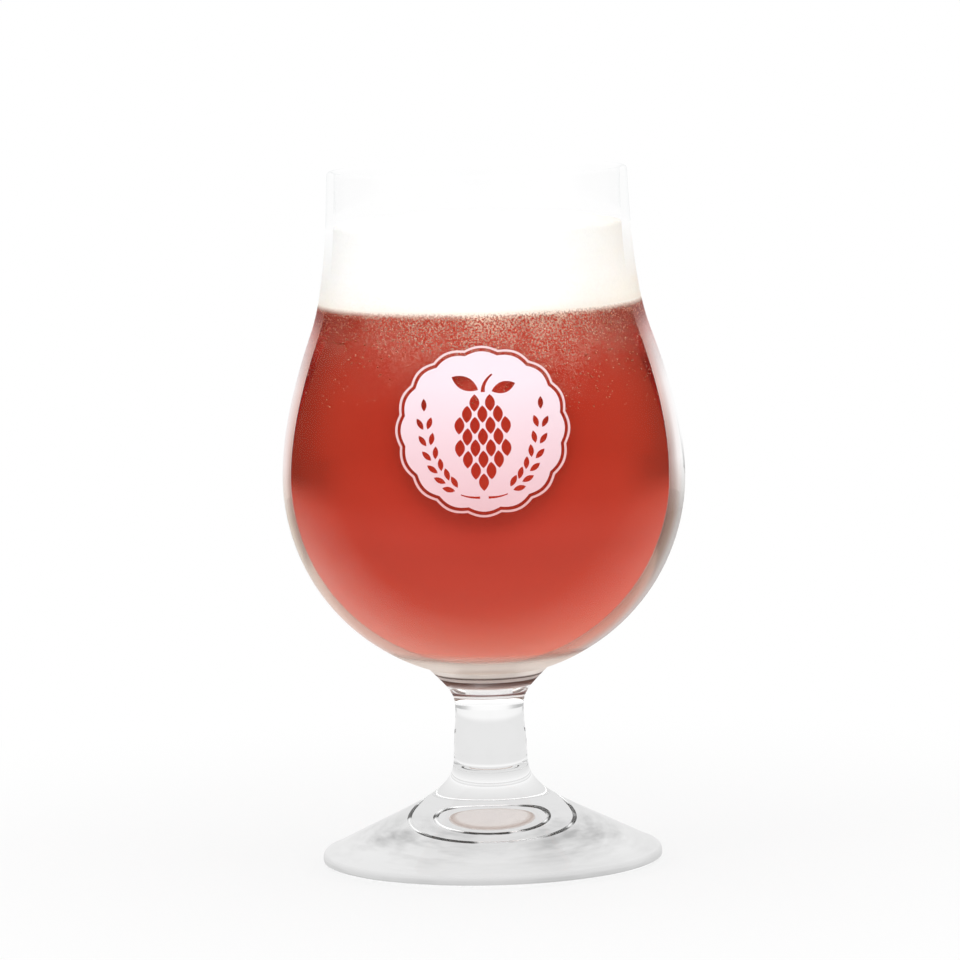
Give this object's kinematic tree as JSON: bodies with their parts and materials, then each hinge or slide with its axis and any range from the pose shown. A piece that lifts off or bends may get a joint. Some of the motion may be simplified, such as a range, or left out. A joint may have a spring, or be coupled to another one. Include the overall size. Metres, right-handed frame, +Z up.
{
  "type": "beer snifter",
  "caption": "Short-stemmed beer snifter with a round belly, drawn-in shoulder and trumpet foot, poured with red beer under a white head, with a pale print on the bowl.",
  "frame": {"origin": "centre of the flat ring that the foot rests on, at table level", "axes": "+Z up along the axis that the glass is turned about; the print on the bowl faces -Y"},
  "size_m": [0.0862, 0.0864, 0.149],
  "materials": {
    "clear_glass": "polished",
    "red_beer": "gloss",
    "white_froth": "matte",
    "pale_enamel": "gloss",
    "outline_enamel": "gloss"
  },
  "bodies": {
    "root": {"bowl": "clear_glass", "stem": "clear_glass", "foot": "clear_glass", "beer": "red_beer", "foam_head": "white_froth", "print_field": "pale_enamel", "print_outline": "outline_enamel"}
  },
  "joints": []
}
